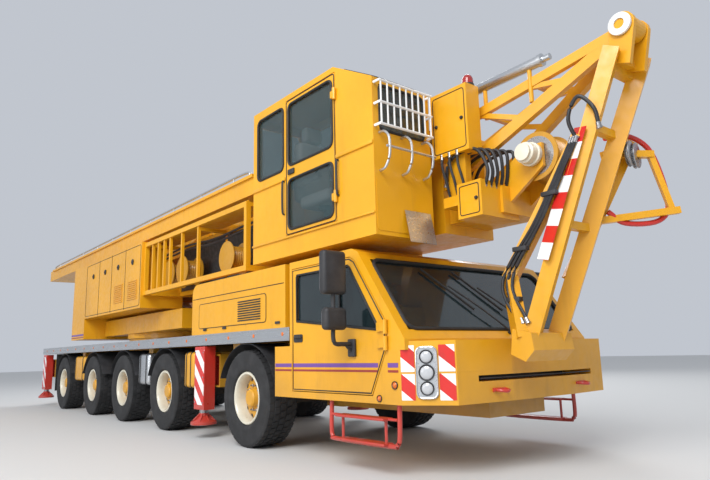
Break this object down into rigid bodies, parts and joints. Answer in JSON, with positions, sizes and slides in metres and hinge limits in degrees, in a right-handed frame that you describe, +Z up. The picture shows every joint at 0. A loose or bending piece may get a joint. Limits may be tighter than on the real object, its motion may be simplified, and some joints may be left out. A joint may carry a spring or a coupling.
{
  "type": "mobile tower crane",
  "caption": "Self-propelled tower crane on a wheeled carrier with outriggers, telescopic tower, folding jib and operator's cab, folded for the road.",
  "frame": {"origin": "on the ground under the centre of the crane's bounding box", "axes": "+X forward, +Y to the crane's left, +Z up"},
  "size_m": [14.8899, 3.44, 3.93],
  "materials": {
    "yellow_paint": "semi-gloss chrome yellow",
    "frame_paint": "satin, dusty",
    "black_paint": "satin",
    "aluminium": "brushed",
    "black_plastic": "grained",
    "rubber": "moulded",
    "cream_paint": "gloss",
    "red_paint": "gloss",
    "steel": "turned"
  },
  "bodies": {
    "root": {"chassis_frame": "frame_paint", "axles_and_driveline": "black_paint", "deck": "aluminium", "engine_housing": "yellow_paint", "carrier_engine": "black_paint", "road_cab": "yellow_paint", "road_cab_interior": "black_plastic", "front_bumper": "yellow_paint"},
    "door_right": {"door_right": "yellow_paint", "mirror_right": "black_plastic"},
    "door_left": {"door_left": "yellow_paint", "mirror_left": "black_plastic"},
    "wheel_1_right": {"tyre_1_right": "rubber", "wheel_1_right": "cream_paint"},
    "knuckle_1_right": {"knuckle_1_right": "black_paint"},
    "wheel_1_left": {"tyre_1_left": "rubber", "wheel_1_left": "cream_paint"},
    "knuckle_1_left": {"knuckle_1_left": "black_paint"},
    "wheel_2_right": {"tyre_2_right": "rubber", "wheel_2_right": "cream_paint"},
    "knuckle_2_right": {"knuckle_2_right": "black_paint"},
    "wheel_2_left": {"tyre_2_left": "rubber", "wheel_2_left": "cream_paint"},
    "knuckle_2_left": {"knuckle_2_left": "black_paint"},
    "wheel_3_right": {"tyre_3_right": "rubber", "wheel_3_right": "cream_paint"},
    "wheel_3_left": {"tyre_3_left": "rubber", "wheel_3_left": "cream_paint"},
    "wheel_4_right": {"tyre_4_right": "rubber", "wheel_4_right": "cream_paint"},
    "wheel_4_left": {"tyre_4_left": "rubber", "wheel_4_left": "cream_paint"},
    "wheel_5_right": {"tyre_5_right": "rubber", "wheel_5_right": "cream_paint"},
    "knuckle_5_right": {"knuckle_5_right": "black_paint"},
    "wheel_5_left": {"tyre_5_left": "rubber", "wheel_5_left": "cream_paint"},
    "knuckle_5_left": {"knuckle_5_left": "black_paint"},
    "outrigger_beam_front_right": {"outrigger_beam_front_right": "red_paint"},
    "outrigger_jack_front_right": {"outrigger_jack_front_right": "steel"},
    "outrigger_beam_front_left": {"outrigger_beam_front_left": "red_paint"},
    "outrigger_jack_front_left": {"outrigger_jack_front_left": "steel"},
    "outrigger_beam_rear_right": {"outrigger_beam_rear_right": "red_paint"},
    "outrigger_jack_rear_right": {"outrigger_jack_rear_right": "steel"},
    "outrigger_beam_rear_left": {"outrigger_beam_rear_left": "red_paint"},
    "outrigger_jack_rear_left": {"outrigger_jack_rear_left": "steel"},
    "upper": {"turntable": "yellow_paint", "counterweight": "yellow_paint", "machinery_house": "yellow_paint", "service_bay": "yellow_paint"},
    "tower_outer": {"tower_outer": "yellow_paint"},
    "tower_inner": {"tower_inner": "yellow_paint", "head_machinery": "yellow_paint"},
    "winch_drum": {"winch_drum": "steel"},
    "strut": {"strut_frame": "yellow_paint"},
    "jib_inner": {"jib_inner": "yellow_paint"},
    "jib_outer": {"jib_outer": "yellow_paint"},
    "hook_block": {"hook_block": "red_paint"},
    "operator_cab": {"operator_cab": "yellow_paint"},
    "operator_cab_door": {"operator_cab_door": "yellow_paint"}
  },
  "joints": [
    {"name": "door_right_hinge", "type": "hinge", "parent": "root", "child": "door_right", "pos_m": [5.615, -1.39, 1], "axis": [0, 0, 1], "range_deg": [0, 70]},
    {"name": "door_left_hinge", "type": "hinge", "parent": "root", "child": "door_left", "pos_m": [5.615, 1.39, 1], "axis": [0, 0, -1], "range_deg": [0, 70]},
    {"name": "steer_1_right", "type": "hinge", "parent": "root", "child": "knuckle_1_right", "pos_m": [3.1, -0.96, 0.55], "axis": [0, 0, 1], "range_deg": [-22, 22]},
    {"name": "spin_1_right", "type": "hinge", "parent": "knuckle_1_right", "child": "wheel_1_right", "pos_m": [3.1, -1.165, 0.55], "axis": [0, 1, 0], "continuous": true},
    {"name": "steer_1_left", "type": "hinge", "parent": "root", "child": "knuckle_1_left", "pos_m": [3.1, 0.96, 0.55], "axis": [0, 0, 1], "range_deg": [-22, 22]},
    {"name": "spin_1_left", "type": "hinge", "parent": "knuckle_1_left", "child": "wheel_1_left", "pos_m": [3.1, 1.165, 0.55], "axis": [0, 1, 0], "continuous": true},
    {"name": "steer_2_right", "type": "hinge", "parent": "root", "child": "knuckle_2_right", "pos_m": [0.63, -0.96, 0.55], "axis": [0, 0, 1], "range_deg": [-22, 22]},
    {"name": "spin_2_right", "type": "hinge", "parent": "knuckle_2_right", "child": "wheel_2_right", "pos_m": [0.63, -1.165, 0.55], "axis": [0, 1, 0], "continuous": true},
    {"name": "steer_2_left", "type": "hinge", "parent": "root", "child": "knuckle_2_left", "pos_m": [0.63, 0.96, 0.55], "axis": [0, 0, 1], "range_deg": [-22, 22]},
    {"name": "spin_2_left", "type": "hinge", "parent": "knuckle_2_left", "child": "wheel_2_left", "pos_m": [0.63, 1.165, 0.55], "axis": [0, 1, 0], "continuous": true},
    {"name": "spin_3_right", "type": "hinge", "parent": "root", "child": "wheel_3_right", "pos_m": [-1.21, -1.165, 0.55], "axis": [0, 1, 0], "continuous": true},
    {"name": "spin_3_left", "type": "hinge", "parent": "root", "child": "wheel_3_left", "pos_m": [-1.21, 1.165, 0.55], "axis": [0, 1, 0], "continuous": true},
    {"name": "spin_4_right", "type": "hinge", "parent": "root", "child": "wheel_4_right", "pos_m": [-2.95, -1.165, 0.55], "axis": [0, 1, 0], "continuous": true},
    {"name": "spin_4_left", "type": "hinge", "parent": "root", "child": "wheel_4_left", "pos_m": [-2.95, 1.165, 0.55], "axis": [0, 1, 0], "continuous": true},
    {"name": "steer_5_right", "type": "hinge", "parent": "root", "child": "knuckle_5_right", "pos_m": [-5.05, -0.96, 0.55], "axis": [0, 0, 1], "range_deg": [-22, 22]},
    {"name": "spin_5_right", "type": "hinge", "parent": "knuckle_5_right", "child": "wheel_5_right", "pos_m": [-5.05, -1.165, 0.55], "axis": [0, 1, 0], "continuous": true},
    {"name": "steer_5_left", "type": "hinge", "parent": "root", "child": "knuckle_5_left", "pos_m": [-5.05, 0.96, 0.55], "axis": [0, 0, 1], "range_deg": [-22, 22]},
    {"name": "spin_5_left", "type": "hinge", "parent": "knuckle_5_left", "child": "wheel_5_left", "pos_m": [-5.05, 1.165, 0.55], "axis": [0, 1, 0], "continuous": true},
    {"name": "outrigger_front_right_slide", "type": "slide", "parent": "root", "child": "outrigger_beam_front_right", "axis": [0, -1, 0], "range_m": [0, 1.8]},
    {"name": "jack_front_right_slide", "type": "slide", "parent": "outrigger_beam_front_right", "child": "outrigger_jack_front_right", "axis": [0, 0, -1], "range_m": [0, 0.55]},
    {"name": "outrigger_front_left_slide", "type": "slide", "parent": "root", "child": "outrigger_beam_front_left", "axis": [0, 1, 0], "range_m": [0, 1.8]},
    {"name": "jack_front_left_slide", "type": "slide", "parent": "outrigger_beam_front_left", "child": "outrigger_jack_front_left", "axis": [0, 0, -1], "range_m": [0, 0.55]},
    {"name": "outrigger_rear_right_slide", "type": "slide", "parent": "root", "child": "outrigger_beam_rear_right", "axis": [0, -1, 0], "range_m": [0, 1.8]},
    {"name": "jack_rear_right_slide", "type": "slide", "parent": "outrigger_beam_rear_right", "child": "outrigger_jack_rear_right", "axis": [0, 0, -1], "range_m": [0, 0.55]},
    {"name": "outrigger_rear_left_slide", "type": "slide", "parent": "root", "child": "outrigger_beam_rear_left", "axis": [0, 1, 0], "range_m": [0, 1.8]},
    {"name": "jack_rear_left_slide", "type": "slide", "parent": "outrigger_beam_rear_left", "child": "outrigger_jack_rear_left", "axis": [0, 0, -1], "range_m": [0, 0.55]},
    {"name": "slew", "type": "hinge", "parent": "root", "child": "upper", "pos_m": [-2.1, 0, 1.4], "axis": [0, 0, 1], "continuous": true},
    {"name": "tower_lift", "type": "hinge", "parent": "upper", "child": "tower_outer", "pos_m": [-3.9, 0, 2.5], "axis": [0, -1, 0], "range_deg": [0, 90]},
    {"name": "tower_telescope", "type": "slide", "parent": "tower_outer", "child": "tower_inner", "axis": [1, 0, 0], "range_m": [0, 6.5]},
    {"name": "winch_spin", "type": "hinge", "parent": "tower_inner", "child": "winch_drum", "pos_m": [6.4, 0, 2.8], "axis": [0, 1, 0], "continuous": true},
    {"name": "strut_swing", "type": "hinge", "parent": "tower_inner", "child": "strut", "pos_m": [7.33, 0, 3.7], "axis": [0, -1, 0], "range_deg": [0, 80]},
    {"name": "jib_level", "type": "hinge", "parent": "tower_inner", "child": "jib_inner", "pos_m": [5.3, 0, 3.22], "axis": [0, 1, 0], "range_deg": [0, 90]},
    {"name": "jib_unfold", "type": "hinge", "parent": "jib_inner", "child": "jib_outer", "pos_m": [-7.365, -0.44, 3.015], "axis": [0, 0, -1], "range_deg": [0, 180]},
    {"name": "hook_hoist", "type": "slide", "parent": "jib_inner", "child": "hook_block", "axis": [0, 0, -1], "range_m": [0, 0.75]},
    {"name": "cab_level", "type": "hinge", "parent": "tower_inner", "child": "operator_cab", "pos_m": [4.9, 0, 2.5], "axis": [0, 1, 0], "range_deg": [0, 90]},
    {"name": "operator_door_hinge", "type": "hinge", "parent": "operator_cab", "child": "operator_cab_door", "pos_m": [4.955, -1.39, 3], "axis": [0, 0, 1], "range_deg": [0, 95]}
  ],
  "couplings": [
    {"joint": "steer_1_left", "follows": "steer_1_right", "ratio": 1},
    {"joint": "steer_2_right", "follows": "steer_1_right", "ratio": 0.7},
    {"joint": "steer_2_left", "follows": "steer_1_right", "ratio": 0.7},
    {"joint": "steer_5_right", "follows": "steer_1_right", "ratio": -0.5},
    {"joint": "steer_5_left", "follows": "steer_1_right", "ratio": -0.5},
    {"joint": "jib_level", "follows": "tower_lift", "ratio": 1},
    {"joint": "cab_level", "follows": "tower_lift", "ratio": 1}
  ]
}
